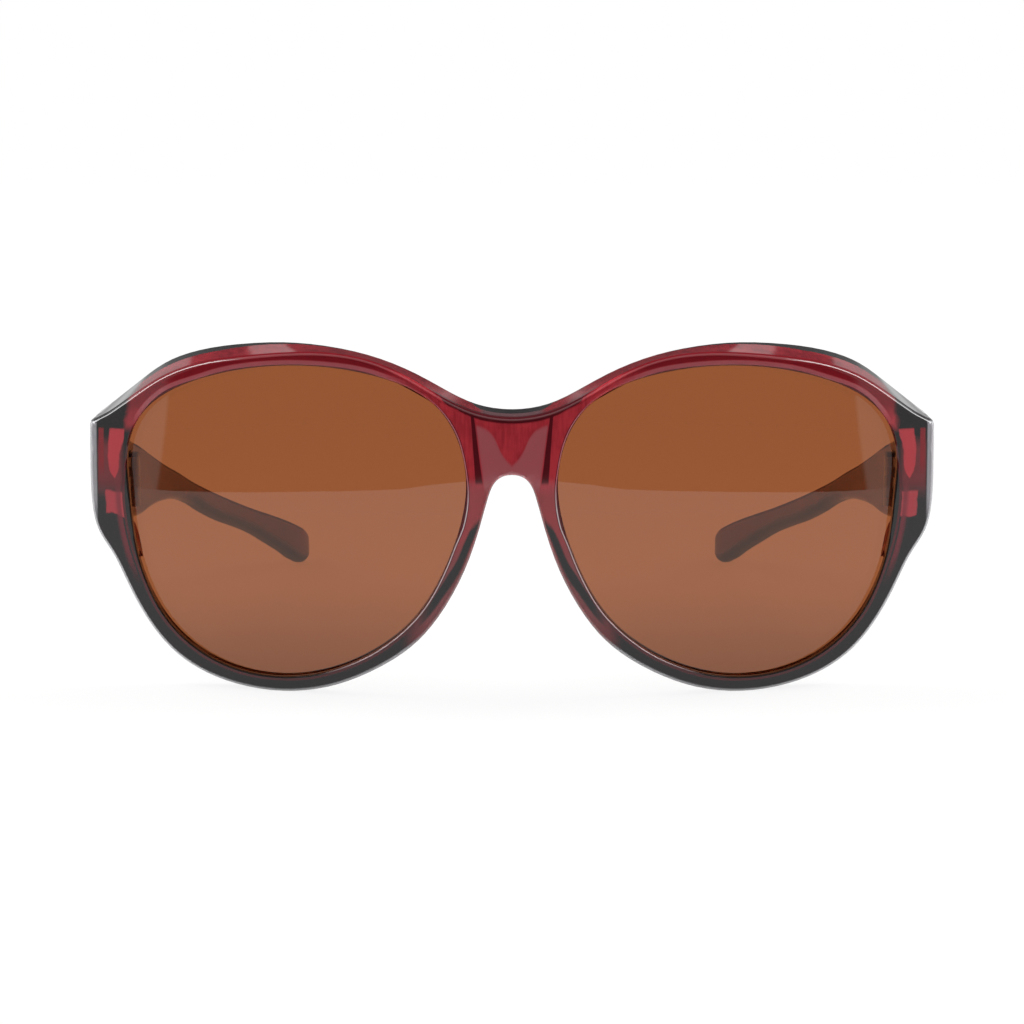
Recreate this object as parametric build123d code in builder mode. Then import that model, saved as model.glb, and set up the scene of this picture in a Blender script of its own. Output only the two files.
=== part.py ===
# Fitover sunglasses: one moulded front with a brow hood, side returns and nose
# saddle, two tinted lenses, two temples, and a five-barrel metal hinge each side.
# Millimetres. X to the wearer's left, Y back towards the face, Z up.
# The origin is under the middle of the glasses, on the surface they stand on.
import os
from math import hypot, sqrt

from build123d import *

os.makedirs("parts", exist_ok=True)

# Driving dimensions of the front
aperture_width = 58.2
aperture_height = 53.2
bridge_gap = 15.3
endpiece_width = 6.9
bottom_rim = 2.8
top_rim = 2.5
front_radius = 165.0
rim_thickness = 4.2
crest_bevel = 0.8
rim_back_bevel = 0.8
aperture_bevel = 0.35

# Brow hood, side return and nose saddle
return_depth = 29.0
hood_depth = 13.0
hood_wall = 2.2
side_wall = 4.2
saddle_wall = 1.6
saddle_depth = 10.0
saddle_foot = 13.0
return_foot = 26.5
return_rise = 0.45
hood_edge_bevel = 0.45

# Lens and its groove
lens_thickness = 2.0
lens_setback = 1.1
groove_depth = 0.9
lens_clearance = 0.05

# Temple
temple_length = 112.0
temple_height = 43.4
temple_sweep = 26.3
temple_lead = 0.36
temple_bevel = 0.9
joint_gap = 0.3

# Hinge: two leaves let into the walls, five knuckles and one screw
hinge_height = 33.4
knuckle_radius = 1.4
knuckle_height = 1.7
knuckle_gap = 0.06
wall_gap = 0.35
leaf_length = 7.4
leaf_thickness = 1.2
leaf_inset = 0.5
leaf_reach = 1.65
leaf_round = 0.8
tongue_thickness = 1.1
pocket_clearance = 0.05

# Screws
hinge_screw_radius = 0.7
turning_clearance = 0.05
hinge_head_radius = 1.25
hinge_head_height = 0.7
leaf_screw_radius = 0.6
leaf_screw_length = 3.0
leaf_head_radius = 1.1
leaf_head_height = 0.5
leaf_screw_spread = 4.4
slot_width = 0.3
slot_depth = 0.25
screw_clearance = 0.03

# How far the tools that cut reach past what they cut
overrun = 2.0

half_width = bridge_gap / 2 + aperture_width + endpiece_width
front_height = bottom_rim + aperture_height + top_rim
lens_centre_x = bridge_gap / 2 + aperture_width / 2
lens_centre_z = bottom_rim + aperture_height / 2
overall_depth = return_depth + joint_gap + temple_length
front_y = -overall_depth / 2
sphere_centre = (0, front_y + front_radius, front_height / 2)


def depth_of(x, z):
    """How far the front's sphere lies behind the foremost point at x and z."""
    rise = z - front_height / 2
    return front_radius - sqrt(front_radius * front_radius - x * x - rise * rise)


# Outline of one half seen from the front, as shares of the half width and the
# height, and how far each point drifts sideways and up for each unit of depth
brow_shares = [
    (0.000, 0.816, 0, 0.02),
    (0.090, 0.834, 0, 0.02),
    (0.200, 0.903, 0, 0.02),
    (0.310, 0.969, 0, -0.02),
    (0.420, 0.994, 0, 0.01),
    (0.530, 0.991, 0, 0.09),
    (0.640, 0.976, 0, 0.13),
    (0.740, 0.952, 0, 0.14),
    (0.820, 0.913, 0, 0.15),
    (0.900, 0.849, 0, 0.12),
    (0.950, 0.806, 0, 0.09),
    (0.985, 0.782, 0, 0.05),
]
side_shares = [
    (1.000, 0.766, 0, 0.02),
    (1.000, 0.630, 0, 0),
    (0.996, 0.520, 0, 0),
    (0.981, 0.450, 0, 0),
    (0.950, 0.392, 0, 0),
    (0.913, 0.303, 0, 0),
    (0.864, 0.193, 0, 0),
    (0.801, 0.102, 0, 0),
    (0.728, 0.045, 0, 0),
    (0.632, 0.009, 0, 0),
    (0.532, 0.000, 0, 0),
    (0.426, 0.021, 0, 0),
    (0.318, 0.078, 0, 0),
    (0.214, 0.172, 0.03, 0),
    (0.143, 0.291, 0.09, 0),
    (0.098, 0.408, 0.12, 0),
    (0.069, 0.520, 0.12, 0),
    (0.056, 0.580, 0.12, 0),
]
notch_top_share = (0.000, 0.653, 0, 0.06)
notch_way = (-0.28, 1)

# Lens opening seen from the front, as shares of its half width and half height
# from its centre; the first number runs outwards from the nose
aperture_shares = [
    (1.000, 0.280),
    (0.860, 0.720),
    (0.494, 0.920),
    (0.000, 1.000),
    (-0.492, 0.939),
    (-0.836, 0.751),
    (-0.998, 0.335),
    (-0.902, -0.204),
    (-0.698, -0.595),
    (-0.375, -0.870),
    (0.036, -1.000),
    (0.480, -0.918),
    (0.768, -0.670),
    (0.937, -0.285),
]


def placed(share, depth):
    """Turns a row of shares into a point of the outline at that depth."""
    x = share[0] * half_width
    z = share[1] * front_height
    behind = depth - depth_of(x, z)
    return (x + share[2] * behind, z + share[3] * behind)


def inset(points, walls):
    """Moves each point inwards, square to the outline, by its own wall."""
    moved = []
    for i, (x, z) in enumerate(points):
        before = points[max(i - 1, 0)]
        after = points[min(i + 1, len(points) - 1)]
        along = (after[0] - before[0], after[1] - before[1])
        length = hypot(*along)
        moved.append((x + walls[i] * along[1] / length, z - walls[i] * along[0] / length))
    return moved


def outer_points(depth):
    """The outline at that depth: brow, side, and the top of the nose notch."""
    brow = [placed(share, depth) for share in brow_shares]
    side = [placed(share, depth) for share in side_shares]
    return brow, side, placed(notch_top_share, depth)


def cavity_points(depth):
    """The same outline moved in by the hood's, the side's and the saddle's wall."""
    brow, side, top = outer_points(depth)
    thin = [hood_wall] * len(brow) + [side_wall] * 8 + [saddle_wall] * 11
    moved = inset(brow + side + [top], thin)
    brow_in = [(0, moved[0][1])] + moved[1 : len(brow) - 2]
    return brow_in, moved[len(brow) : -1], (0, moved[-1][1])


def half_outline(brow, side, top):
    """Closed line round the right half; brow and side meet at the endpiece."""
    before, corner = brow[-2:]
    corner_way = (corner[0] - before[0], corner[1] - before[1])
    with BuildLine() as outline:
        Spline(brow, tangents=[(1, 0), corner_way])
        Spline([brow[-1], side[0]], tangents=[corner_way, (0, -1)])
        Spline(side, tangents=[(0, -1), notch_way])
        Spline([side[-1], top], tangents=[notch_way, (-1, 0)])
        Line(top, brow[0])
    return outline.line


def aperture_outline(grow):
    """Closed line of the lens opening, grown all round."""
    reach_x = aperture_width / 2 + grow
    reach_z = aperture_height / 2 + grow
    with BuildLine() as outline:
        Spline(
            [(lens_centre_x + u * reach_x, lens_centre_z + v * reach_z) for u, v in aperture_shares],
            periodic=True,
        )
    return outline.line


def station(depth):
    """Upright plane that far behind the foremost point, with the same X and Z."""
    return Plane.XZ.offset(-front_y - depth)


# Blank of the half front: outline drifting back from the sphere, crest bevelled
front_line = half_outline(*outer_points(0))
rear_line = half_outline(*outer_points(return_depth))
with BuildPart() as blank:
    with BuildSketch(station(0)):
        make_face(front_line.edges())
    with BuildSketch(station(return_depth)):
        make_face(rear_line.edges())
    loft(ruled=True)
    with Locations(sphere_centre):
        Sphere(front_radius, mode=Mode.INTERSECT)
    crest = blank.faces().filter_by(GeomType.SPHERE).edges().sort_by(Edge.length)[-1]
    chamfer(crest, length=crest_bevel)

# Space inside the walls of the hood, the side return and the saddle
front_line = half_outline(*cavity_points(0))
rear_line = half_outline(*cavity_points(return_depth + overrun))
with BuildPart() as cavity:
    with BuildSketch(station(0)):
        make_face(front_line.edges())
    with BuildSketch(station(return_depth + overrun)):
        make_face(rear_line.edges())
    loft(ruled=True)

# Stretches of the walls that stand behind the rim: brow, side return, saddle
brow_floor = 0.5 * (brow_shares[0][1] + notch_top_share[1]) * front_height
far_y = front_y + return_depth + overrun
side_floor = return_foot - return_rise * return_depth
hood_room = return_depth - hood_depth
hood_reach = half_width - side_wall
hood_radius = (hood_reach * hood_reach + hood_room * hood_room) / (2 * hood_room)
with BuildPart() as walls:
    with BuildSketch(Plane.YZ):
        with BuildLine():
            Polyline(
                (front_y, brow_floor),
                (front_y, 2 * front_height),
                (far_y, 2 * front_height),
                (far_y, brow_floor),
                close=True,
            )
        make_face()
    extrude(amount=2 * half_width)
    with BuildSketch(Plane.YZ.offset(bridge_gap)):
        with BuildLine():
            Polyline(
                (front_y, side_floor),
                (front_y, 2 * front_height),
                (far_y, 2 * front_height),
                (far_y, return_foot + return_rise * overrun),
                close=True,
            )
        make_face()
    extrude(amount=2 * half_width)
    with Locations((0, front_y + hood_depth + hood_radius, 0)):
        Cylinder(hood_radius, 8 * front_height, mode=Mode.SUBTRACT)
    with BuildSketch(Plane.YZ):
        with BuildLine():
            Polyline(
                (front_y, saddle_foot),
                (front_y, brow_floor),
                (front_y + saddle_depth, brow_floor),
                (front_y + saddle_depth, saddle_foot + 2 * saddle_depth),
                (front_y + rim_thickness, saddle_foot),
                close=True,
            )
        make_face()
    extrude(amount=bridge_gap)
    add(cavity.part, mode=Mode.SUBTRACT)

# Half front: the blank emptied behind the rim, save for those walls
with BuildPart() as hollow:
    with Locations(sphere_centre):
        Sphere(front_radius - rim_thickness)
    add(walls.part, mode=Mode.SUBTRACT)
with BuildPart() as half_front:
    add(blank.part)
    add(hollow.part, mode=Mode.SUBTRACT)
    long_edges = half_front.edges().filter_by(lambda edge: edge.length > half_width)
    low_edges = long_edges.filter_by(lambda edge: edge.center().Z < lens_centre_z)
    chamfer(low_edges.sort_by(Edge.length)[:1], length=rim_back_bevel)
    hood_end = half_front.faces().filter_by(GeomType.CYLINDER).sort_by(Face.area)[-1]
    hood_edges = hood_end.edges().filter_by(lambda edge: edge.length > lens_centre_x)
    chamfer(hood_edges, length=hood_edge_bevel)

# Lens opening and its groove, the same distance into the rim all round
with BuildPart() as opening:
    opening_line = aperture_outline(0)
    with BuildSketch(station(0)):
        make_face(opening_line.edges())
    extrude(amount=-return_depth)
    with Locations(sphere_centre):
        Sphere(front_radius - rim_thickness - rim_back_bevel, mode=Mode.SUBTRACT)
with BuildPart() as groove:
    groove_line = aperture_outline(groove_depth)
    with BuildSketch(station(0)):
        make_face(groove_line.edges())
    extrude(amount=-return_depth)
    with Locations(sphere_centre):
        Sphere(front_radius - lens_setback, mode=Mode.INTERSECT)
        Sphere(front_radius - lens_setback - lens_thickness, mode=Mode.SUBTRACT)
with BuildPart() as half_rim:
    add(half_front.part)
    add(opening.part, mode=Mode.SUBTRACT)
    mouths = half_rim.edges().filter_by(lambda edge: edge.length > aperture_width * 2)
    front_mouth = mouths.filter_by(lambda edge: edge.center().X > bridge_gap / 2)
    chamfer(front_mouth.sort_by(Axis.Y)[:1], length=aperture_bevel)
    add(groove.part, mode=Mode.SUBTRACT)

# Shallow pocket and two pilot holes for the hinge leaf, in the side return's wall
joint_y = front_y + return_depth
axis_y = joint_y + joint_gap / 2
wall_x = half_width - side_wall
leaf_x = wall_x + leaf_inset - leaf_thickness
axis_x = wall_x - wall_gap - knuckle_radius
leaf_height = 5 * knuckle_height + 4 * knuckle_gap
front_leaf_y = axis_y - leaf_reach - leaf_length / 2
temple_leaf_y = axis_y + leaf_reach + leaf_length / 2
screw_places = [
    (0, hinge_height - leaf_screw_spread / 2),
    (0, hinge_height + leaf_screw_spread / 2),
]


def leaf_slab(middle_y, grow):
    """Rounded plate of a hinge leaf, lying against the wall, grown all round."""
    with BuildPart() as slab:
        with BuildSketch(Plane.YZ.offset(leaf_x)):
            with Locations((middle_y, hinge_height)):
                RectangleRounded(leaf_length + 2 * grow, leaf_height + 2 * grow, leaf_round)
        extrude(amount=leaf_thickness + grow)
    return slab.part


def screw_pilots(middle_y):
    """The two round holes that the leaf screws bite into."""
    with BuildPart() as pilots:
        with BuildSketch(Plane.YZ.offset(leaf_x)):
            with Locations([(middle_y + y, z) for y, z in screw_places]):
                Circle(leaf_screw_radius + screw_clearance)
        extrude(amount=leaf_screw_length + screw_clearance)
    return pilots.part


front_pocket = leaf_slab(front_leaf_y, pocket_clearance)
front_pilots = screw_pilots(front_leaf_y)
with BuildPart() as knuckle_bay:
    with BuildSketch(Plane.YZ.offset(wall_x)):
        with Locations((joint_y, hinge_height)):
            Rectangle(2 * (joint_y - front_leaf_y), leaf_height + 2 * wall_gap)
    extrude(amount=-side_wall)
with BuildPart() as drilled_half:
    add(half_rim.part)
    add(knuckle_bay.part, mode=Mode.SUBTRACT)
    add(front_pocket, mode=Mode.SUBTRACT)
    add(front_pilots, mode=Mode.SUBTRACT)

# The whole front, moulded in one with its hood, side returns and saddle
with BuildPart() as front_frame:
    add(drilled_half.part)
    mirror(about=Plane.YZ)
front_frame.part.label = "front_frame"
export_step(front_frame.part, "parts/front_frame.step")

# Lenses: shells about the front's own centre, seated in the grooves
lens_line = aperture_outline(groove_depth - lens_clearance)
with BuildPart() as left_lens:
    with BuildSketch(station(0)):
        make_face(lens_line.edges())
    extrude(amount=-return_depth)
    with Locations(sphere_centre):
        Sphere(front_radius - lens_setback - lens_clearance, mode=Mode.INTERSECT)
        Sphere(front_radius - lens_setback - lens_thickness + lens_clearance, mode=Mode.SUBTRACT)
left_lens.part.label = "left_lens"
export_step(left_lens.part, "parts/left_lens.step")

with BuildPart() as right_lens:
    add(left_lens.part)
    mirror(about=Plane.YZ, mode=Mode.REPLACE)
right_lens.part.label = "right_lens"
export_step(right_lens.part, "parts/right_lens.step")

# Temples: lofted through upright sections, each a bevelled bar. The shares are of
# the length behind the joint, then of the height at the joint for the section's
# bottom and top, then of the wall for its thickness
temple_shares = [
    (0.000, 0.616, 1.000, 1.00),
    (0.075, 0.588, 0.906, 0.94),
    (0.150, 0.574, 0.851, 0.89),
    (0.225, 0.594, 0.795, 0.85),
    (0.300, 0.579, 0.732, 0.83),
    (0.375, 0.534, 0.670, 0.82),
    (0.450, 0.469, 0.602, 0.81),
    (0.525, 0.395, 0.539, 0.80),
    (0.600, 0.336, 0.478, 0.79),
    (0.675, 0.274, 0.418, 0.78),
    (0.750, 0.205, 0.359, 0.77),
    (0.825, 0.131, 0.302, 0.77),
    (0.890, 0.062, 0.251, 0.76),
    (0.940, 0.012, 0.208, 0.74),
    (0.975, 0.005, 0.172, 0.68),
    (1.000, 0.058, 0.122, 0.36),
]
temple_y = joint_y + joint_gap


def temple_outside(share):
    """How far out the temple's outer face lies that share of its length back."""
    return half_width - temple_sweep * share * (temple_lead + (1 - temple_lead) * share)


with BuildPart() as temple_blank:
    for back, low, high, wall in temple_shares:
        width = wall * side_wall
        height = (high - low) * temple_height
        with BuildSketch(station(return_depth + joint_gap + back * temple_length)) as section:
            with Locations((temple_outside(back) - width / 2, low * temple_height + height / 2)):
                Rectangle(width, height)
            chamfer(section.vertices(), length=temple_bevel * wall)
    loft()
with BuildPart() as left_temple:
    add(temple_blank.part)
    add(leaf_slab(temple_leaf_y, pocket_clearance), mode=Mode.SUBTRACT)
    add(screw_pilots(temple_leaf_y), mode=Mode.SUBTRACT)
left_temple.part.label = "left_temple"
export_step(left_temple.part, "parts/left_temple.step")

with BuildPart() as right_temple:
    add(left_temple.part)
    mirror(about=Plane.YZ, mode=Mode.REPLACE)
right_temple.part.label = "right_temple"
export_step(right_temple.part, "parts/right_temple.step")

# Hinge leaves: a plate let into the wall and its knuckles, three on the front
# and two between them on the temple, each joined to its plate by a tongue
knuckle_step = knuckle_height + knuckle_gap
lowest_knuckle = hinge_height - leaf_height / 2


def hinge_leaf(middle_y, way, rows):
    """A leaf whose knuckles sit in those rows, counted from the bottom."""
    plate_end = middle_y + way * leaf_length / 2
    with BuildPart() as leaf:
        add(leaf_slab(middle_y, 0))
        for row in rows:
            foot = lowest_knuckle + row * knuckle_step
            with BuildSketch(Plane.XY.offset(foot)):
                with Locations((axis_x, axis_y)):
                    Circle(knuckle_radius)
                with BuildLine():
                    Polyline(
                        (axis_x, axis_y - way * knuckle_radius * 0.2),
                        (leaf_x + tongue_thickness * 0.5, axis_y - way * knuckle_radius * 0.2),
                        (leaf_x + tongue_thickness * 0.5, plate_end - way * knuckle_radius),
                        (leaf_x, plate_end - way * knuckle_radius),
                        (axis_x, plate_end),
                        close=True,
                    )
                make_face()
            extrude(amount=knuckle_height)
        with Locations((axis_x, axis_y, hinge_height)):
            Cylinder(hinge_screw_radius + turning_clearance, 2 * leaf_height, mode=Mode.SUBTRACT)
        with BuildSketch(Plane.YZ.offset(leaf_x)):
            with Locations([(middle_y + y, z) for y, z in screw_places]):
                Circle(leaf_screw_radius + screw_clearance)
        extrude(amount=leaf_thickness, mode=Mode.SUBTRACT)
    return leaf.part


def leaf_screws(middle_y):
    """The two slotted screws that hold a leaf to its wall."""
    with BuildPart() as pair:
        with BuildSketch(Plane.YZ.offset(leaf_x)):
            with Locations([(middle_y + y, z) for y, z in screw_places]):
                Circle(leaf_screw_radius)
        extrude(amount=leaf_screw_length)
        with BuildSketch(Plane.YZ.offset(leaf_x)):
            with Locations([(middle_y + y, z) for y, z in screw_places]):
                Circle(leaf_head_radius)
        extrude(amount=-leaf_head_height)
        with BuildSketch(Plane.YZ.offset(leaf_x - leaf_head_height)):
            with Locations([(middle_y + y, z) for y, z in screw_places]):
                Rectangle(2 * leaf_head_radius, slot_width)
        extrude(amount=slot_depth, mode=Mode.SUBTRACT)
    return pair.part


# Hinge screw: slotted head on the top knuckle, shank through all five
with BuildPart() as left_hinge_screw:
    with Locations((axis_x, axis_y, lowest_knuckle)):
        Cylinder(hinge_screw_radius, leaf_height, align=(Align.CENTER, Align.CENTER, Align.MIN))
    with Locations((axis_x, axis_y, lowest_knuckle + leaf_height)):
        Cylinder(hinge_head_radius, hinge_head_height, align=(Align.CENTER, Align.CENTER, Align.MIN))
    with Locations((axis_x, axis_y, lowest_knuckle + leaf_height + hinge_head_height)):
        Box(2 * hinge_head_radius, slot_width, 2 * slot_depth, mode=Mode.SUBTRACT)
left_hinge_screw.part.label = "left_hinge_screw"
export_step(left_hinge_screw.part, "parts/left_hinge_screw.step")

with BuildPart() as right_hinge_screw:
    add(left_hinge_screw.part)
    mirror(about=Plane.YZ, mode=Mode.REPLACE)
right_hinge_screw.part.label = "right_hinge_screw"
export_step(right_hinge_screw.part, "parts/right_hinge_screw.step")

# Leaves and their screws on the left, each mirrored for the right
hinge_pieces = {
    "front_hinge_leaf": hinge_leaf(front_leaf_y, 1, (0, 2, 4)),
    "temple_hinge_leaf": hinge_leaf(temple_leaf_y, -1, (1, 3)),
    "front_leaf_screws": leaf_screws(front_leaf_y),
    "temple_leaf_screws": leaf_screws(temple_leaf_y),
}
for name, piece in hinge_pieces.items():
    with BuildPart() as left_piece:
        add(piece)
    left_piece.part.label = "left_" + name
    export_step(left_piece.part, "parts/left_" + name + ".step")
    with BuildPart() as right_piece:
        add(piece)
        mirror(about=Plane.YZ, mode=Mode.REPLACE)
    right_piece.part.label = "right_" + name
    export_step(right_piece.part, "parts/right_" + name + ".step")
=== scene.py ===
from math import atan2, hypot, pi, radians, sqrt

import bmesh
import bpy
import numpy as np
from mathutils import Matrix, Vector


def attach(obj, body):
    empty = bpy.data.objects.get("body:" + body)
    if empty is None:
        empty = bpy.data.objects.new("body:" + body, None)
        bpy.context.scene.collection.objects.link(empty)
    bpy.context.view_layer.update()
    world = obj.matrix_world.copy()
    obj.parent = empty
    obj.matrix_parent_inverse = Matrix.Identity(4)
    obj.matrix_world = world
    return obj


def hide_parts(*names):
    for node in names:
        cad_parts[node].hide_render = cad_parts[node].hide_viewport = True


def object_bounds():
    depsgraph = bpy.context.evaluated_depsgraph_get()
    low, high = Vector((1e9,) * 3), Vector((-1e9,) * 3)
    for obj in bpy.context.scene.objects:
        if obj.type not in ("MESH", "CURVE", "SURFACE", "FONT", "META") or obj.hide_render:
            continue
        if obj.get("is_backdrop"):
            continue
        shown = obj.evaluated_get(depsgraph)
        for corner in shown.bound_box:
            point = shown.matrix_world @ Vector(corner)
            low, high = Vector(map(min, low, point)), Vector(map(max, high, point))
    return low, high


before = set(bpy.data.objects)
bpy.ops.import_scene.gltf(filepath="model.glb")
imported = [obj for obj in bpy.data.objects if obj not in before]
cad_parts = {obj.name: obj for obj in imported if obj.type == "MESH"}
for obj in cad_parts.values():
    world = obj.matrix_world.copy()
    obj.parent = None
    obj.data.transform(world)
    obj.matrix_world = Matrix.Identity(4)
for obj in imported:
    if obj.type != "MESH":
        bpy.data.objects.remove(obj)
cad_box = [list(corner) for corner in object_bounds()]

# Camera: a long portrait lens on a tripod, a little above the glasses and square to
# their front, looking slightly down at them.
camera_place = (0.0, -0.52065, 0.1004)
camera_drop = 8.62
camera_lens = 96.15
camera = bpy.data.objects.new("camera", bpy.data.cameras.new("camera"))
bpy.context.scene.collection.objects.link(camera)
camera.location = camera_place
camera.rotation_euler = (radians(90 - camera_drop), 0, 0)
camera.data.lens = camera_lens
camera.data.sensor_width = 36.0
camera.data.clip_end = 50.0
bpy.context.scene.camera = camera
bpy.context.scene.view_settings.view_transform = "Standard"


# Front: two rims, bridge, brow hood, side returns and nose saddle, moulded in one
# piece from translucent burgundy plastic and polished all over. Light from above
# fills the brow, the bridge and the endpieces with red; the low rims stay dark.
class Shade:
    """A socket of a material's nodes, on which sums can be written as on a number."""

    def __init__(self, tree, socket=None):
        self.tree = tree
        self.socket = socket

    def node(self, kind, settings, inputs, output=0):
        """Adds a node and returns one output: its settings, then its inputs by socket.

        An input is a value, a link, or a list of links into one socket.
        """
        made = self.tree.nodes.new(kind)
        for name, value in settings.items():
            if name == "curve":
                line = made.mapping.curves[0]
                for place, height in value[1:-1]:
                    line.points.new(place, height)
                line.points[0].location = value[0]
                line.points[-1].location = value[-1]
                made.mapping.update()
            else:
                setattr(made, name, value)
        for name, values in inputs.items():
            for value in values if isinstance(values, list) else [values]:
                if isinstance(value, Shade):
                    self.tree.links.new(value.socket, made.inputs[name])
                else:
                    made.inputs[name].default_value = value
        return None if output is None else Shade(self.tree, made.outputs[output])

    def maths(self, operation, *values):
        return self.node("ShaderNodeMath", {"operation": operation}, dict(enumerate(values)))

    def __add__(self, other):
        return self.maths("ADD", self, other)

    def __radd__(self, other):
        return self.maths("ADD", other, self)

    def __sub__(self, other):
        return self.maths("SUBTRACT", self, other)

    def __rsub__(self, other):
        return self.maths("SUBTRACT", other, self)

    def __mul__(self, other):
        return self.maths("MULTIPLY", self, other)

    def __rmul__(self, other):
        return self.maths("MULTIPLY", other, self)

    def __truediv__(self, other):
        return self.maths("DIVIDE", self, other)

    def rise(self, low, high):
        """0 below the low value and 1 above the high one, with soft ends."""
        ends = {"Value": self, "From Min": low, "From Max": high}
        return self.node("ShaderNodeMapRange", {"interpolation_type": "SMOOTHSTEP"}, ends)

    def follow(self, points, reach, height):
        """The height of a smooth line through the points, above this value."""
        shares = [(place / reach, tall / height) for place, tall in points]
        return self.node("ShaderNodeFloatCurve", {"curve": shares}, {"Value": self / reach}) * height

    def mix(self, first, second):
        """The first colour where this is 0, the second where it is 1."""
        colours = {0: self, 6: first, 7: second}
        return self.node("ShaderNodeMix", {"data_type": "RGBA"}, colours, 2)


def new_material(name, **plain):
    """A material with one Principled shader, its even values set on the shader."""
    made = bpy.data.materials.new(name)
    made.use_nodes = True
    shader = made.node_tree.nodes["Principled BSDF"]
    for key, value in plain.items():
        shader.inputs[key.replace("_", " ")].default_value = value
    return made, shader, Shade(made.node_tree)


def object_place(sheet):
    """The point on the object, and its X, Y and Z in millimetres."""
    place = sheet.node("ShaderNodeTexCoord", {}, {}, "Object")
    enlarged = sheet.node("ShaderNodeVectorMath", {"operation": "SCALE"}, {0: place, "Scale": 1 / mm})
    axes = [sheet.node("ShaderNodeSeparateXYZ", {}, {0: enlarged}, axis) for axis in range(3)]
    return enlarged, *axes


red = (0.440, 0.032, 0.044, 1.0)
deep_red = (0.290, 0.019, 0.028, 1.0)
ledge_red = (0.310, 0.024, 0.034, 1.0)
ledge_deep = (0.180, 0.012, 0.020, 1.0)
rose = (0.290, 0.024, 0.030, 1.0)
brow_wine = (0.190, 0.008, 0.014, 1.0)
wine = (0.080, 0.005, 0.009, 1.0)
temple_wine = (0.088, 0.009, 0.013, 1.0)
temple_deep = (0.046, 0.005, 0.008, 1.0)
mauve = (0.355, 0.082, 0.094, 1.0)
tea_brown = (0.190, 0.040, 0.044, 1.0)
pale_highlight = (0.620, 0.470, 0.490, 1.0)
pink_highlight = (0.460, 0.110, 0.140, 1.0)
bridge_ledge_highlight = (0.150, 0.070, 0.078, 1.0)
strip_red = (0.210, 0.008, 0.013, 1.0)
rim_red = (0.170, 0.012, 0.022, 1.0)
edge_highlight_grey = (0.260, 0.255, 0.270, 1.0)
side_highlight_grey = (0.300, 0.290, 0.310, 1.0)
dusk = (0.150, 0.018, 0.022, 1.0)
groove_painted_light = (0.420, 0.170, 0.145, 1.0)
nearly_black = (0.006, 0.0040, 0.0048, 1.0)
mm = 0.001
ball_middle = (0.0, 94.35, 29.25)
ball_reach = 165.0
rim_depth = 4.2
hood_middle = 97.2
hood_reach = 154.85
rim_centre = (36.75, 29.4)
rim_reach = (29.1, 26.6)
crease_angle = 58
surface_angle = 20
weld_gap = 2e-6
on_ball_gap = 3e-5
on_ball_facing = 0.85

# Lens opening as shares of its half width and height, from its outer side over the top
opening_shares = [
    (1.000, 0.280),
    (0.860, 0.720),
    (0.494, 0.920),
    (0.000, 1.000),
    (-0.492, 0.939),
    (-0.836, 0.751),
    (-0.998, 0.335),
    (-0.902, -0.204),
    (-0.698, -0.595),
    (-0.375, -0.870),
    (0.036, -1.000),
    (0.480, -0.918),
    (0.768, -0.670),
    (0.937, -0.285),
]


def rim_distance(sheet, across, up):
    """How far outside the lens opening a point of the front lies, in millimetres."""
    side = sheet.maths("ABSOLUTE", across)
    u = (side - rim_centre[0]) / rim_reach[0]
    v = (up - rim_centre[1]) / rim_reach[1]
    turn = sheet.maths("ARCTAN2", v, u) / (2 * pi) + 0.5
    polar = sorted((atan2(b, a) / (2 * pi) + 0.5, hypot(a, b) / 2) for a, b in opening_shares)
    before, after = 1 - polar[-1][0], polar[0][0]
    seam = (polar[0][1] * before + polar[-1][1] * after) / (before + after)
    points = [(0.0, seam)] + polar + [(1.0, seam)]
    edge = sheet.node("ShaderNodeFloatCurve", {"curve": points}, {"Value": turn})
    far = sheet.maths("SQRT", u * u + v * v)
    return (far - 2.0 * edge) * (rim_reach[0] + rim_reach[1]) / 2


def joined_faces(faces, bend):
    """Groups of faces that meet at edges with less than the bend, in radians."""
    loose = dict.fromkeys(faces)
    groups = []
    while loose:
        waiting = [loose.popitem()[0]]
        groups.append([])
        while waiting:
            face = waiting.pop()
            groups[-1].append(face)
            for edge in face.edges:
                if edge.calc_face_angle(pi) < bend:
                    for other in edge.link_faces:
                        if other in loose:
                            del loose[other]
                            waiting.append(other)
    return groups


def smooth(mesh, angle):
    """Smooth faces, with a sharp edge where two of them bend by more than the angle."""
    mesh.set_sharp_from_angle(angle=radians(angle))
    for polygon in mesh.polygons:
        polygon.use_smooth = True


def rounded_copy(node, name):
    """A copy of a CAD node's mesh, with its narrow bevels shaded as rounds.

    Edges under the crease angle are smooth. Where several surfaces meet at one, the
    widest lends its normal, so that it stays even and the bevel takes the turn.
    """
    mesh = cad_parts[node].data.copy()
    mesh.materials.clear()
    skin = bmesh.new()
    skin.from_mesh(mesh)
    bmesh.ops.remove_doubles(skin, verts=skin.verts, dist=weld_gap)
    skin.normal_update()
    skin.verts.index_update()
    skin.faces.index_update()
    widths = {}
    for surface in joined_faces(skin.faces, radians(surface_angle)):
        widths.update(dict.fromkeys(surface, sum(face.calc_area() for face in surface)))
    ways = {}
    for vertex in skin.verts:
        for fan in joined_faces(vertex.link_faces, radians(crease_angle)):
            widest = max(widths[face] for face in fan)
            leading = [face for face in fan if widths[face] == widest]
            corners = [(face, loop) for face in leading for loop in face.loops if loop.vert == vertex]
            way = sum((face.normal * loop.calc_angle() for face, loop in corners), Vector())
            for face in fan:
                ways[face.index, vertex.index] = tuple(way.normalized())
    skin.to_mesh(mesh)
    skin.free()
    smooth(mesh, crease_angle)
    normals = [ways[polygon.index, i] for polygon in mesh.polygons for i in polygon.vertices]
    mesh.normals_split_custom_set(normals)
    piece = bpy.data.objects.new(name, mesh)
    bpy.context.scene.collection.objects.link(piece)
    return piece


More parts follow.
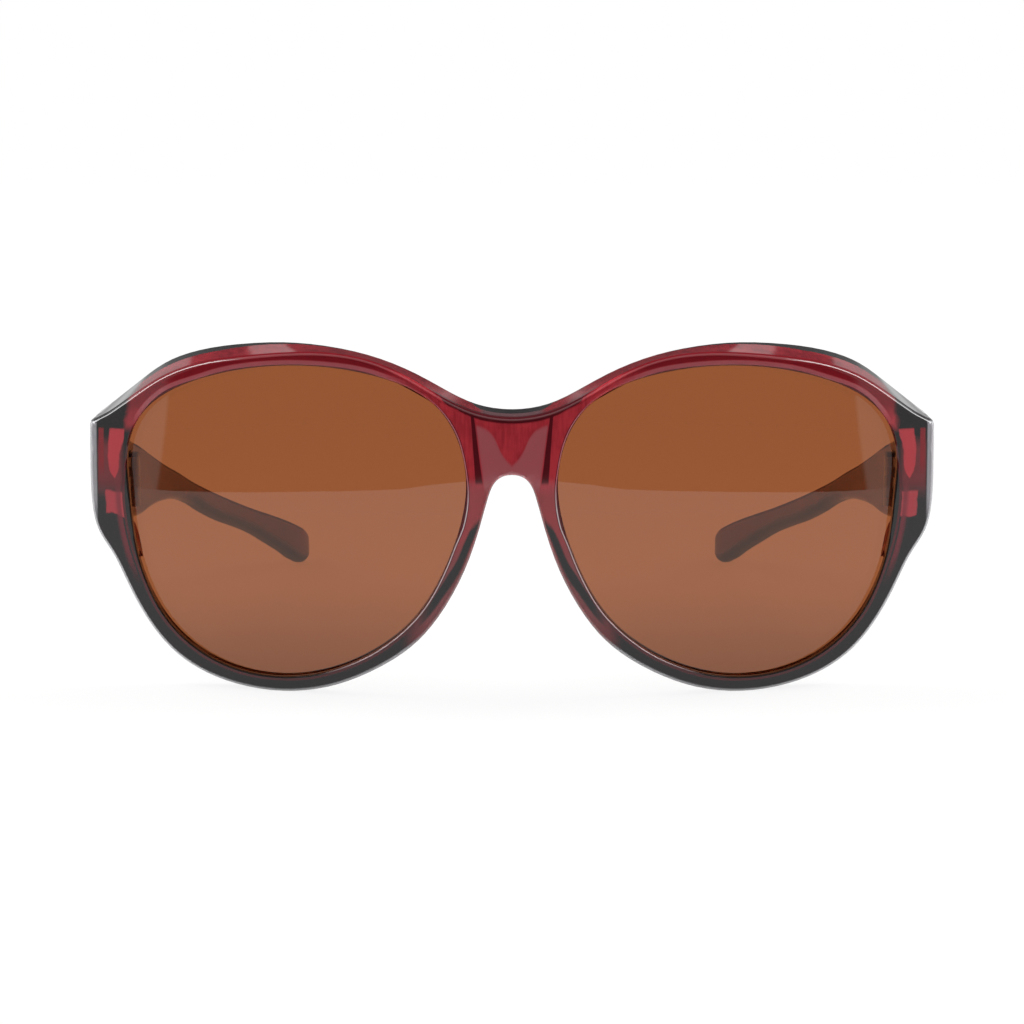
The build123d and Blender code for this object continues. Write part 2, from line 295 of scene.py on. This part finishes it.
def turn_to_ball(mesh, centre, radius, depth):
    """Sets exact normals where the mesh lies on the ball or that deep inside it."""
    points = np.empty(len(mesh.vertices) * 3)
    mesh.vertices.foreach_get("co", points)
    ways = points.reshape(-1, 3) - centre
    reach = np.linalg.norm(ways, axis=1)
    ways /= reach[:, None]
    corners = np.empty(len(mesh.loops), dtype=int)
    mesh.loops.foreach_get("vertex_index", corners)
    normals = np.empty(len(mesh.loops) * 3)
    mesh.corner_normals.foreach_get("vector", normals)
    normals = normals.reshape(-1, 3)
    for ball, way in ((radius, 1), (radius - depth, -1)):
        near = np.abs(reach[corners] - ball) < on_ball_gap
        along = way * ways[corners]
        near &= np.einsum("ij,ij->i", normals, along) > on_ball_facing
        normals[near] = along[near]
    mesh.normals_split_custom_set([tuple(normal) for normal in normals])


# Paint, with its places in millimetres: side is measured from the middle plane, clear
# outwards from the lens opening, and under backwards from the ball of the front
polish, rear_roughness = 0.07, 0.42
front_plastic, shader, sheet = new_material("front_plastic", IOR=1.5)
place, across, back, up = object_place(sheet)
side = sheet.maths("ABSOLUTE", across)
clear = rim_distance(sheet, across, up)
from_ball = sheet.node("ShaderNodeVectorMath", {"operation": "SUBTRACT"}, {0: place, 1: ball_middle})
under = ball_reach - sheet.node("ShaderNodeVectorMath", {"operation": "LENGTH"}, {0: from_ball}, "Value")
face = 1 - under.rise(0.2, 0.9)
above_bridge = up.rise(45.0, 46.5)

# Clouds and fine upright streaks in the red, which is deeper on top of the hood
cloud = sheet.node("ShaderNodeTexNoise", {}, {"Vector": place, "Scale": 0.22, "Detail": 3.0}, "Fac")
drawn = sheet.node("ShaderNodeMapping", {}, {"Vector": place, "Scale": (2.2, 0.3, 0.3)})
grain = sheet.node("ShaderNodeTexNoise", {}, {"Vector": drawn, "Scale": 1.0, "Detail": 4.0}, "Fac")
thick = (cloud * 0.55 + grain * 0.45).rise(0.34, 0.60)
ledge = under.rise(0.8, 1.4)
colour = ledge.mix(thick.mix(deep_red, red), thick.mix(ledge_deep, ledge_red))
# A painted mauve highlight on top of the hood above the bridge
colour = (ledge * (1 - side.rise(4.5, 6.0)) * above_bridge).mix(colour, bridge_ledge_highlight)
to_middle = hood_middle - back
ahead = sheet.maths("SQRT", across * across + to_middle * to_middle) - hood_reach
band = [(0, 6.0), (5, 5.6), (8, 0.8), (20, 0.4), (28, 1.2), (44, 2.4), (52, 3.8), (80, 3.8)]
band = side.follow(band, 80.0, 7.0)
rear = sheet.maths("MAXIMUM", 1 - (ahead - band).rise(-0.2, 0.3), side.rise(63.5, 65.5))
colour = (ledge * rear).mix(colour, nearly_black)
dull = ledge * rear * (1 - side.rise(58.0, 62.0)) * (rear_roughness - polish)
sheet.tree.links.new((dull + polish).socket, shader.inputs["Roughness"])

# Brow seen from the front: a dark band along the crest, a mauve one by the lens, and at the lens edge a thin
# wine line of painted groove shade
brow = face * up.rise(45.0, 49.0) * side.rise(15.0, 24.0)
colour = (brow * clear.rise(0.85, 1.1)).mix(colour, brow_wine)
colour = (brow * (1 - clear.rise(0.8, 1.05))).mix(colour, mauve)
colour = (brow * (1 - clear.rise(0.12, 0.30))).mix(colour, wine)

# Bridge: mauve round the notch, a dark sliver each side, a wine band along the crest
vee = side.follow([(0, 39.9), (1.7, 41.9), (3.0, 44.6), (4.4, 46.0), (8, 46.5)], 8.0, 60.0)
risen = up - 36.9
inner = 4.8 + risen * 0.13
outer = 6.15 + risen * 0.07
notch = (vee - up).rise(-0.3, 0.5) * (1 - (side - inner).rise(-0.3, 0.1))
colour = (face * notch).mix(colour, mauve)
sliver = (side - inner).rise(0.0, 0.15) * (outer - side).rise(0.0, 0.15) * up.rise(36.4, 37.2)
colour = (face * sliver).mix(colour, wine)
top = side.follow([(0, 46.8), (3, 47.0), (6, 47.65), (9, 49.0), (12, 51.1), (16, 60)], 16.0, 60.0)
crest = sheet.maths("MAXIMUM", (up - top).rise(-0.1, 0.2), under.rise(0.4, 0.7)) * above_bridge
colour = (crest * (1 - under.rise(2.0, 2.4)) * (1 - side.rise(11.0, 16.0))).mix(colour, wine)
bevel = under.rise(0.04, 0.2) * (1 - under.rise(0.9, 1.3)) * clear.rise(1.6, 2.0)
colour = (bevel * above_bridge * side.rise(10.0, 20.0)).mix(colour, brow_wine)

# Nose rims: mauve, then tea brown, with a dark core; the rest of the low rims is dark
low = 1 - up.rise(30.5, 33.0)
by_nose = 1 - side.rise(13.0, 19.0)
colour = ((1 - up.rise(34.5, 37.5)) * by_nose).mix(colour, rose)
colour = ((1 - up.rise(20.0, 30.0)) * by_nose).mix(colour, tea_brown)
core_in = [(0, 0.3), (10, 0.3), (17, 0.35), (21, 0.7), (24, 1.2), (27.4, 1.3), (31, 1.5), (40, 1.8)]
core_in = up.follow(core_in, 40.0, 4.0)
core_out = [(0, 1.5), (12, 1.5), (17, 1.7), (21, 2.3), (24, 2.5), (31, 2.6), (40, 2.7)]
core_out = up.follow(core_out, 40.0, 4.0)
core = (clear - core_in).rise(-0.2, 0.2) * (core_out - clear).rise(-0.2, 0.3)
core = core * (1 - (up + (2.7 - clear) * 1.4).rise(30.2, 32.0))
sway = (cloud - 0.5) * 2.4
swayed = side + sway * 0.6
end = side.rise(58.0, 60.0) * (1 - up.rise(43.5, 45.5))
end = sheet.maths("MAXIMUM", (swayed + sway * 0.5).rise(65.0, 66.1), end)
end = end * (1 - under.rise(3.0, 4.0))
dark = sheet.maths("MAXIMUM", low * (1 - by_nose), end)
dark = sheet.maths("MAXIMUM", dark, core * by_nose)
colour = dark.mix(colour, nearly_black)

# Endpieces: a red window that narrows to a round foot, a strip outside it and a patch
# below, with dusky plastic round them, and a red glow down the rim beside the lens
haze = side.rise(66.0, 67.5) * (1 - side.rise(71.0, 71.5)) * up.rise(31.5, 36.0)
colour = (haze * (1 - up.rise(40.5, 43.5)) * face).mix(colour, dusk)
window_inner = [(0, 68.3), (35, 68.3), (37.3, 67.3), (40.8, 66.9), (44.2, 65.9), (60, 65)]
window_outer = [(0, 68.0), (35, 68.0), (37.1, 69.1), (39.7, 69.4), (44.2, 69.2), (60, 69)]
window_inner, window_outer = [up.follow(line, 60.0, 80.0) for line in (window_inner, window_outer)]
window = (swayed - window_inner).rise(0.0, 0.3) * (window_outer - swayed).rise(0.0, 0.3)
window = window * up.rise(34.7, 35.4) * (1 - up.rise(44.1, 44.5))
swayed_up = up + sway
patch = swayed.rise(66.5, 66.8) * (1 - swayed.rise(69.5, 69.8))
patch = patch * swayed_up.rise(29.2, 29.6) * (1 - swayed_up.rise(33.1, 33.6))
lit = sheet.maths("MAXIMUM", window, patch * 0.85)
colour = (lit * face).mix(colour, red)
strip = side.rise(70.0, 70.25) * (1 - side.rise(70.9, 71.2))
strip = strip * up.rise(35.5, 38.5) * (1 - up.rise(44.0, 44.5))
colour = (strip * face).mix(colour, strip_red)
glow_line = clear.rise(0.9, 1.2) * (1 - clear.rise(1.5, 2.3)) * side.rise(56.0, 60.0)
glow_line = glow_line * up.rise(17.0, 24.0) * (1 - up.rise(33.0, 36.0)) * 0.8
colour = (glow_line * face).mix(colour, rim_red)

# Lines: wine round the lens, a light pinkish painted highlight beside it towards the
# nose, and grey painted highlights where the bevel of the outer edge takes the light
fine = clear.rise(0.25, 0.4) * (1 - clear.rise(0.65, 0.85)) * dark * (1 - by_nose)
colour = (fine * face).mix(colour, wine)
nose_side = (1 - side.rise(24.0, 34.0)) * (1 - up.rise(47.0, 51.0)) * (1 - under.rise(0.4, 0.6))
colour = (nose_side * (1 - clear.rise(0.36, 0.46))).mix(colour, wine)
# A painted highlight along the edge of the opening by the nose
gleam = up.rise(32.0, 38.0).mix(pale_highlight, pink_highlight)
colour = (nose_side * clear.rise(0.08, 0.13) * (1 - clear.rise(0.24, 0.30))).mix(colour, gleam)
# Painted grey highlights on the bevels of the outer edge
outer_edge = under.rise(0.1, 0.4) * (1 - under.rise(0.7, 1.0)) * clear.rise(1.4, 1.8)
outer_edge = outer_edge * dark * (1 - by_nose) * (1 - up.rise(44.5, 46.0))
colour = outer_edge.mix(colour, edge_highlight_grey)
outer_side = side.rise(71.3, 71.6) * (1 - under.rise(0.9, 1.4)) * up.rise(26.0, 33.0)
colour = (outer_side * (1 - up.rise(45.0, 45.6))).mix(colour, side_highlight_grey)

# Side returns in the deep red of the temples, with the grooves and the inner foot painted paler as painted
# light, so that they look lit through the lens
wall = under.rise(1.5, 2.3) * side.rise(66.2, 66.6) * (1 - up.rise(43.6, 44.6))
colour = wall.mix(colour, cloud.rise(0.3, 0.7).mix(temple_deep, temple_wine))
groove = under.rise(1.1, 1.3) * (1 - under.rise(3.2, 3.6)) * (1 - clear.rise(1.2, 1.5))
inner_foot = under.rise(3.8, 4.4) * side.rise(58.0, 61.0) * (1 - side.rise(66.4, 66.8))
inner_foot = inner_foot * (1 - up.rise(29.0, 31.0))
colour = sheet.maths("MAXIMUM", groove, inner_foot).mix(colour, groove_painted_light)
sheet.tree.links.new(colour.socket, shader.inputs["Base Color"])

front = rounded_copy("front_frame", "moulded_front")
turn_to_ball(front.data, np.array(ball_middle) * mm, ball_reach * mm, rim_depth * mm)
front.data.materials.append(front_plastic)
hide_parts("front_frame")
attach(front, "front")

# Lenses: two curved shells of brown tinted plastic, about 2 mm thick, sprung into the
# grooves of the rims from behind. They refract and mirror as glass does.
lens_depths = (1.15, 3.05)
lens_overlap = 0.85
lens_crease = 35
lens_tint = (0.318, 0.101, 0.0365, 1.0)
deep_tint = (0.304, 0.095, 0.0335, 1.0)
around, rings = 144, 16
hands = (("left", 1.0), ("right", -1.0))


def lens_outline(margin):
    """Smooth closed line through the shares of the lens opening, wider by the margin."""
    count = len(opening_shares)
    corners = np.array(opening_shares)
    steps = np.hypot(*(np.roll(corners, -1, 0) - corners).T)
    before = np.roll(steps, 1)
    rows = np.zeros((count, count))
    pull = np.zeros((count, 2))
    for i in range(count):
        rows[i, i - 1] = steps[i]
        rows[i, i] = 2 * (before[i] + steps[i])
        rows[i, (i + 1) % count] = before[i]
        ahead = (corners[(i + 1) % count] - corners[i]) / steps[i]
        behind = (corners[i] - corners[i - 1]) / before[i]
        pull[i] = 3 * (before[i] * ahead + steps[i] * behind)
    slopes = np.linalg.solve(rows, pull)
    line = []
    for k in range(around):
        i = k * count // around
        t = k * count / around - i
        a, b = corners[i], corners[(i + 1) % count]
        da, db = slopes[i] * steps[i], slopes[(i + 1) % count] * steps[i]
        line.append(
            (2 * t**3 - 3 * t**2 + 1) * a + (t**3 - 2 * t**2 + t) * da
            + (3 * t**2 - 2 * t**3) * b + (t**3 - t**2) * db
        )
    return [(u * (rim_reach[0] + margin), v * (rim_reach[1] + margin)) for u, v in line]


def bent(x, z, depth):
    """The point at x and z on the ball that lies that deep under the front's."""
    rise = z - ball_middle[2]
    y = ball_middle[1] - sqrt((ball_reach - depth) ** 2 - x * x - rise * rise)
    return (x * mm, y * mm, z * mm)


glassy = {"Roughness": 0.0, "IOR": 1.5, "Transmission_Weight": 1.0}
lens_plastic, shader, sheet = new_material("lens_plastic", **glassy)
up = object_place(sheet)[-1]
tint = up.rise(0.0, 60.0).mix(lens_tint, deep_tint)
sheet.tree.links.new(tint.socket, shader.inputs["Base Color"])
for hand, way in hands:
    shell = bmesh.new()
    outline = lens_outline(lens_overlap)
    faces = []
    for depth in lens_depths:
        middle = shell.verts.new(bent(way * rim_centre[0], rim_centre[1], depth))
        last = None
        for ring in range(1, rings + 1):
            share = ring / rings
            places = [(rim_centre[0] + u * share, rim_centre[1] + v * share) for u, v in outline]
            row = [shell.verts.new(bent(way * x, z, depth)) for x, z in places]
            for k in range(around):
                after = (k + 1) % around
                if last is None:
                    shell.faces.new((middle, row[k], row[after]))
                else:
                    shell.faces.new((last[k], row[k], row[after], last[after]))
            last = row
        faces.append(last)
    for k in range(around):
        after = (k + 1) % around
        shell.faces.new((faces[0][k], faces[0][after], faces[1][after], faces[1][k]))
    bmesh.ops.recalc_face_normals(shell, faces=shell.faces)
    mesh = bpy.data.meshes.new(hand + "_tinted_lens")
    shell.to_mesh(mesh)
    shell.free()
    smooth(mesh, lens_crease)
    lens = bpy.data.objects.new(hand + "_tinted_lens", mesh)
    bpy.context.scene.collection.objects.link(lens)
    mesh.materials.append(lens_plastic)
    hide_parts(hand + "_lens")
    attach(lens, "front")

# Temples: moulded bars of the same burgundy plastic, wide at the joint to cover the
# spectacles worn beneath and slim behind, where they droop to a rounded tip. The rows
# are shares of the length, then of the height for bottom and top, then of the wall.
temple_rows = [
    (0.000, 0.616, 1.000, 1.00),
    (0.075, 0.588, 0.920, 0.94),
    (0.150, 0.571, 0.866, 0.89),
    (0.225, 0.579, 0.802, 0.85),
    (0.300, 0.574, 0.736, 0.83),
    (0.375, 0.553, 0.674, 0.82),
    (0.450, 0.506, 0.606, 0.81),
    (0.525, 0.434, 0.543, 0.80),
    (0.600, 0.367, 0.482, 0.79),
    (0.675, 0.309, 0.422, 0.78),
    (0.750, 0.246, 0.363, 0.77),
    (0.825, 0.166, 0.306, 0.77),
    (0.890, 0.092, 0.254, 0.76),
    (0.940, 0.030, 0.209, 0.74),
    (0.975, 0.007, 0.172, 0.68),
    (1.000, 0.058, 0.122, 0.36),
]
temple_sizes = {
    "Hand": 1.0,
    "Joint": -0.04135,
    "Length": 0.112,
    "Height": 0.0434,
    "Wall": 0.0042,
    "Reach": 0.07275,
    "Sweep": 0.0263,
    "Lead": 0.36,
    "Round": 0.0013,
}
temple_steps, temple_around = 120, 48
round_share = 0.47
temple_crease = 40
temple_polish, foot_roughness = 0.09, 0.44


def new_tree(name, sizes):
    """A geometry tree with a named input for each size and one for the material."""
    tree = bpy.data.node_groups.new(name, "GeometryNodeTree")
    for size in sizes:
        tree.interface.new_socket(size, in_out="INPUT", socket_type="NodeSocketFloat")
    tree.interface.new_socket("Material", in_out="INPUT", socket_type="NodeSocketMaterial")
    tree.interface.new_socket("Geometry", in_out="OUTPUT", socket_type="NodeSocketGeometry")
    given = tree.nodes.new("NodeGroupInput")
    fields = {socket.name: Shade(tree, socket) for socket in given.outputs if socket.name}
    return tree, Shade(tree), fields


def close_tree(sheet, shape, fields):
    """Ends the tree with plain mesh and its material."""
    plain = sheet.node("GeometryNodeRealizeInstances", {}, {"Geometry": shape})
    painted = sheet.node("GeometryNodeSetMaterial", {}, {"Geometry": plain, "Material": fields["Material"]})
    sheet.node("NodeGroupOutput", {}, {"Geometry": painted}, None)


def grow(tree, name, sizes, material, angle):
    """A piece with the tree's shape as its own mesh, shaded smooth up to the angle."""
    piece = bpy.data.objects.new(name, bpy.data.meshes.new(name))
    bpy.context.scene.collection.objects.link(piece)
    maker = piece.modifiers.new("maker", "NODES")
    maker.node_group = tree
    for socket in tree.interface.items_tree:
        if socket.in_out == "INPUT":
            maker[socket.identifier] = sizes.get(socket.name, material)
    shaped = piece.evaluated_get(bpy.context.evaluated_depsgraph_get())
    piece.data = bpy.data.meshes.new_from_object(shaped)
    piece.modifiers.remove(maker)
    mesh = piece.data
    skin = bmesh.new()
    skin.from_mesh(mesh)
    bmesh.ops.recalc_face_normals(skin, faces=skin.faces)
    skin.to_mesh(mesh)
    skin.free()
    smooth(mesh, angle)
    return piece


bar, sheet, fields = new_tree("temple_bar", temple_sizes)
grid = {"Size X": 1.0, "Size Y": 1.0, "Vertices X": temple_steps + 1, "Vertices Y": temple_around + 1}
grid = sheet.node("GeometryNodeMeshGrid", {}, grid)
flat = sheet.node("GeometryNodeInputPosition", {}, {})
row, turn = [sheet.node("ShaderNodeSeparateXYZ", {}, {0: flat}, axis) for axis in range(2)]
row = (row + 0.5) * temple_steps
angle = (turn + 0.5 + 0.5 / temple_around) * (2 * pi)
gone = sheet.maths("MINIMUM", sheet.maths("MAXIMUM", (row - 1) / (temple_steps - 2), 0.0), 1.0)
opened = sheet.maths("MINIMUM", sheet.maths("MINIMUM", row, temple_steps - row), 1.0)
lines = [[(line[0], line[i]) for line in temple_rows] for i in (1, 2, 3)]
low, high, thick = [gone.follow(line, 1.0, 1.0) for line in lines]
low, high, thick = low * fields["Height"], high * fields["Height"], thick * fields["Wall"]
outside = fields["Reach"] - fields["Sweep"] * gone * (fields["Lead"] + (1 - fields["Lead"]) * gone)
edge = sheet.maths("MINIMUM", fields["Round"], thick * round_share)
cosine, sine = sheet.maths("COSINE", angle), sheet.maths("SINE", angle)
outwards = sheet.maths("SIGN", cosine) * (thick / 2 - edge) + cosine * edge
upwards = sheet.maths("SIGN", sine) * ((high - low) / 2 - edge) + sine * edge
point = {
    "X": fields["Hand"] * (outside - thick / 2 + opened * outwards),
    "Y": fields["Joint"] + gone * fields["Length"],
    "Z": (low + high) / 2 + opened * upwards,
}
point = sheet.node("ShaderNodeCombineXYZ", {}, point)
shape = sheet.node("GeometryNodeSetPosition", {}, {"Geometry": grid, "Position": point})
shape = sheet.node("GeometryNodeMergeByDistance", {}, {"Geometry": shape, "Distance": weld_gap})
close_tree(sheet, shape, fields)

temple_plastic, shader, sheet = new_material("temple_plastic", IOR=1.5)
place, _, back, up = object_place(sheet)
cloud = sheet.node("ShaderNodeTexNoise", {}, {"Vector": place, "Scale": 0.16, "Detail": 3.0}, "Fac")
# The lower edge of the rear part is painted nearly black, a painted shade along its underside, and left
# rougher
gone = (back - temple_sizes["Joint"] / mm) / (temple_sizes["Length"] / mm)
foot_line = gone.follow(lines[0], 1.0, 1.0) * (temple_sizes["Height"] / mm)
foot = (1 - (up - foot_line).rise(0.8, 2.5)) * back.rise(-10.0, 15.0)
colour = foot.mix(cloud.rise(0.3, 0.7).mix(temple_deep, temple_wine), nearly_black)
sheet.tree.links.new(colour.socket, shader.inputs["Base Color"])
roughness = foot * (foot_roughness - temple_polish) + temple_polish
sheet.tree.links.new(roughness.socket, shader.inputs["Roughness"])
for hand, way in hands:
    sizes = {**temple_sizes, "Hand": way}
    temple = grow(bar, hand + "_moulded_temple", sizes, temple_plastic, temple_crease)
    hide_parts(hand + "_temple")
    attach(temple, hand + "_arm")

# Hinges: two stamped steel leaves a side, let into the walls and held by slotted
# screws in pairs, with a longer screw through their five knuckles.
leaf_dark = (0.30, 0.28, 0.26, 1.0)
leaf_bright = (0.44, 0.42, 0.40, 1.0)
screw_dark = (0.16, 0.155, 0.15, 1.0)
screw_bright = (0.30, 0.29, 0.28, 1.0)
hinge_steel, shader, sheet = new_material("hinge_steel", Metallic=0.4)
place = object_place(sheet)[0]
stretch = sheet.node("ShaderNodeMapping", {}, {"Vector": place, "Scale": (1.0, 14.0, 1.0)})
brushing = sheet.node("ShaderNodeTexNoise", {}, {"Vector": stretch, "Scale": 3.0, "Detail": 5.0}, "Fac")
steel = brushing.mix(leaf_dark, leaf_bright)
sheet.tree.links.new(steel.socket, shader.inputs["Base Color"])
sheet.tree.links.new((brushing * 0.2 + 0.22).socket, shader.inputs["Roughness"])
for hand, _ in hands:
    for leaf in ("front_hinge_leaf", "temple_hinge_leaf"):
        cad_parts[hand + "_" + leaf].data.materials[0] = hinge_steel

screw_steel, shader, sheet = new_material("screw_steel", Metallic=1.0)
place = object_place(sheet)[0]
wear = sheet.node("ShaderNodeTexNoise", {}, {"Vector": place, "Scale": 5.0, "Detail": 4.0}, "Fac")
steel = wear.mix(screw_dark, screw_bright)
sheet.tree.links.new(steel.socket, shader.inputs["Base Color"])
sheet.tree.links.new((wear * 0.15 + 0.14).socket, shader.inputs["Roughness"])
for hand, _ in hands:
    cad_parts[hand + "_hinge_screw"].data.materials[0] = screw_steel

screw_sizes = {
    "Hand": 1.0,
    "Face": 0.06785,
    "Middle": 0.0,
    "Lowest": 0.0312,
    "Spread": 0.0044,
    "Head Radius": 0.0011,
    "Head Height": 0.0005,
    "Shank Radius": 0.0006,
    "Length": 0.003,
    "Slot Width": 0.0003,
    "Slot Depth": 0.00025,
}
screw_middles = {"front": -0.04685, "temple": -0.03615}
dome_share, dome_top_share, slot_reach_share = 0.3, 0.84, 2.4
screw_sides = 40
screw_crease = 30
pair, sheet, fields = new_tree("leaf_screws", screw_sizes)
rim = fields["Head Height"] * dome_share
wall = fields["Head Height"] - rim


def rod(kind, low, height, sizes):
    """An upright round solid with its foot at the low value.

    A cylinder has its origin in its middle, a cone has it at its foot.
    """
    made = sheet.node(kind, {}, {"Vertices": screw_sides, "Depth": height, **sizes})
    if kind == "GeometryNodeMeshCylinder":
        low = low + height / 2
    lifted = sheet.node("ShaderNodeCombineXYZ", {}, {"Z": low})
    return sheet.node("GeometryNodeTransform", {}, {"Geometry": made, "Translation": lifted})


head = rod("GeometryNodeMeshCylinder", 0.0, wall, {"Radius": fields["Head Radius"]})
dome = {"Radius Bottom": fields["Head Radius"], "Radius Top": fields["Head Radius"] * dome_top_share}
dome = rod("GeometryNodeMeshCone", wall, rim, dome)
shank = {"Radius": fields["Shank Radius"]}
shank = rod("GeometryNodeMeshCylinder", fields["Length"] * -1.0, fields["Length"], shank)
solid = sheet.node("GeometryNodeMeshBoolean", {"operation": "UNION"}, {"Mesh 2": [head, dome]})
slot = {"X": fields["Head Radius"] * slot_reach_share, "Y": fields["Slot Width"]}
slot = sheet.node("ShaderNodeCombineXYZ", {}, {**slot, "Z": fields["Slot Depth"] * 2})
slot = sheet.node("GeometryNodeMeshCube", {}, {"Size": slot})
lifted = sheet.node("ShaderNodeCombineXYZ", {}, {"Z": fields["Head Height"]})
slot = sheet.node("GeometryNodeTransform", {}, {"Geometry": slot, "Translation": lifted})
solid = sheet.node("GeometryNodeMeshBoolean", {"operation": "DIFFERENCE"}, {"Mesh 1": solid, "Mesh 2": slot})
screw = sheet.node("GeometryNodeJoinGeometry", {}, {"Geometry": [solid, shank]})
step = sheet.node("ShaderNodeCombineXYZ", {}, {"Z": fields["Spread"]})
spots = sheet.node("GeometryNodeMeshLine", {}, {"Count": 2, "Offset": step})
turned = sheet.node("GeometryNodeTransform", {}, {"Geometry": screw, "Rotation": (0.0, -pi / 2, 0.0)})
shape = sheet.node("GeometryNodeInstanceOnPoints", {}, {"Points": spots, "Instance": turned})
spot = {"X": fields["Face"], "Y": fields["Middle"], "Z": fields["Lowest"]}
spot = sheet.node("ShaderNodeCombineXYZ", {}, spot)
shape = sheet.node("GeometryNodeTransform", {}, {"Geometry": shape, "Translation": spot})
mirrored = sheet.node("ShaderNodeCombineXYZ", {}, {"X": fields["Hand"], "Y": 1.0, "Z": 1.0})
shape = sheet.node("GeometryNodeTransform", {}, {"Geometry": shape, "Scale": mirrored})
close_tree(sheet, shape, fields)
for hand, way in hands:
    for leaf, body in (("front", "front"), ("temple", hand + "_arm")):
        sizes = {**screw_sizes, "Hand": way, "Middle": screw_middles[leaf]}
        screws = grow(pair, f"{hand}_{leaf}_slotted_screws", sizes, screw_steel, screw_crease)
        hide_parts(f"{hand}_{leaf}_leaf_screws")
        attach(screws, body)

# Table: a white top whose front edge is the line that the lenses mirror. It glows by
# itself under the camera's eye, so that only a share of the glasses' shadow is left;
# through the lenses more of it shows, and a painted shadow darkest by the rims' feet.
right_edge = [
    (0.10, -0.92),
    (0.145, -0.74),
    (0.165, -0.60),
    (0.255, -0.46),
    (0.335, -0.315),
    (0.37, -0.285),
    (0.75, 0.10),
    (1.60, 0.60),
    (1.60, 2.60),
]
table_edge = [(-x, y) for x, y in reversed(right_edge)] + [(0.0, -1.02)] + right_edge
table_white = (0.86, 0.86, 0.86, 1.0)
shadow_share = 0.15
behind_share = 0.32
top_glow = 1.02
foot_shade = 0.4
foot_places = (37.0, -69.0)
table_mesh = bpy.data.meshes.new("table")
table_mesh.from_pydata([(x, y, 0.0) for x, y in table_edge], [], [list(range(len(table_edge)))])
table = bpy.data.objects.new("table", table_mesh)
bpy.context.scene.collection.objects.link(table)
table_paint, shader, sheet = new_material("table_paint", Roughness=0.6, Base_Color=table_white)
direct, gloss, through = [
    sheet.node("ShaderNodeLightPath", {}, {}, f"Is {kind} Ray")
    for kind in ("Camera", "Glossy", "Transmission")
]
place, across, back, _ = object_place(sheet)
distance = sheet.node("ShaderNodeVectorMath", {"operation": "LENGTH"}, {0: place}, "Value")
near = 1 - distance.rise(140.0, 330.0)
seen = sheet.maths("MAXIMUM", direct, gloss) * (1 - shadow_share * near)
seen = sheet.maths("MAXIMUM", seen, through * (1 - behind_share * near))
# A painted shadow round the feet of the rims, seen only through the lenses
aside = sheet.maths("ABSOLUTE", across) - foot_places[0]
beyond = back - foot_places[1]
shaded = 1 - sheet.maths("SQRT", aside * aside + beyond * beyond).rise(5.0, 130.0)
level = top_glow - through * shaded * foot_shade
glow = sheet.node("ShaderNodeEmission", {}, {"Color": (1, 1, 1, 1), "Strength": level})
lit_top = Shade(sheet.tree, shader.outputs[0])
top = sheet.node("ShaderNodeMixShader", {}, {0: seen, 1: lit_top, 2: glow})
sheet.tree.links.new(top.socket, sheet.tree.nodes["Material Output"].inputs["Surface"])
table_mesh.materials.append(table_paint)
table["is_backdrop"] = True

# Studio: pure white to the eye and through the lenses. To everything else it is a dark
# room with pale panels at the sides and windows behind, and soft lamps. The lamp in
# front lights the glasses but isn't mirrored in them.
panel_slant = 0.086
panel_glow, side_glow, window_glow, horizon_glow, room_glow = 0.7, 2.2, 0.33, 0.45, 0.04
world = bpy.data.worlds.new("studio")
bpy.context.scene.world = world
world.use_nodes = True
sheet = Shade(world.node_tree)
way = sheet.node("ShaderNodeTexCoord", {}, {}, "Generated")
way_x, way_y, way_z = [sheet.node("ShaderNodeSeparateXYZ", {}, {0: way}, axis) for axis in range(3)]
sideways = sheet.maths("ABSOLUTE", way_x)
panels = (sideways + way_z * panel_slant).rise(0.760, 0.769)
panels = panels * (1 - way_y.rise(0.2, 0.25)) * (1 - way_z.rise(0.45, 0.6))
rear_sides = sideways.rise(0.55, 0.6) * way_y.rise(0.2, 0.25) * (1 - way_z.rise(0.4, 0.5))
windows = sideways.rise(0.09, 0.10) * (1 - sideways.rise(0.147, 0.153)) + sideways.rise(0.232, 0.24)
windows = windows * way_y.rise(0.7, 0.8) * (1 - way_z.rise(0.5, 0.6))
horizon = sideways.rise(0.19, 0.22) * way_y.rise(0.7, 0.8) * (1 - way_z.rise(0.035, 0.06))
room = panels * panel_glow + rear_sides * side_glow
room = room + windows * window_glow + horizon * horizon_glow + room_glow
camera_ray = sheet.node("ShaderNodeLightPath", {}, {}, "Is Camera Ray")
lens_ray = sheet.node("ShaderNodeLightPath", {}, {}, "Is Transmission Ray")
seen = sheet.maths("MAXIMUM", camera_ray, lens_ray)
level = seen + (1 - seen) * room
backdrop = world.node_tree.nodes["Background"]
world.node_tree.links.new(level.socket, backdrop.inputs["Strength"])
backdrop.inputs["Color"].default_value = (1, 1, 1, 1)

# Each lamp's place, turn, size and power
lamps = {
    "overhead": ((0.0, 0.15, 1.1), (0, 0, 0), (1.7, 1.3), 6.0),
    "front_fill": ((0.0, -1.05, 1.1), (radians(45), 0, 0), (1.6, 0.9), 4.5),
    "left_strip": ((0.56, 0.12, 0.52), (0, radians(47), 0), (0.5, 0.30), 4.4),
    "right_strip": ((-0.56, 0.12, 0.52), (0, radians(-47), 0), (0.5, 0.30), 4.4),
}
for name, (spot, turn, size, power) in lamps.items():
    lamp = bpy.data.lights.new(name, "AREA")
    lamp.shape = "RECTANGLE"
    lamp.size, lamp.size_y = size
    lamp.energy = power
    holder = bpy.data.objects.new(name, lamp)
    holder.location = spot
    holder.rotation_euler = turn
    holder.visible_glossy = name != "front_fill"
    bpy.context.scene.collection.objects.link(holder)

sizes = {"cad": cad_box, "visual": [list(corner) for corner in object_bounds()]}
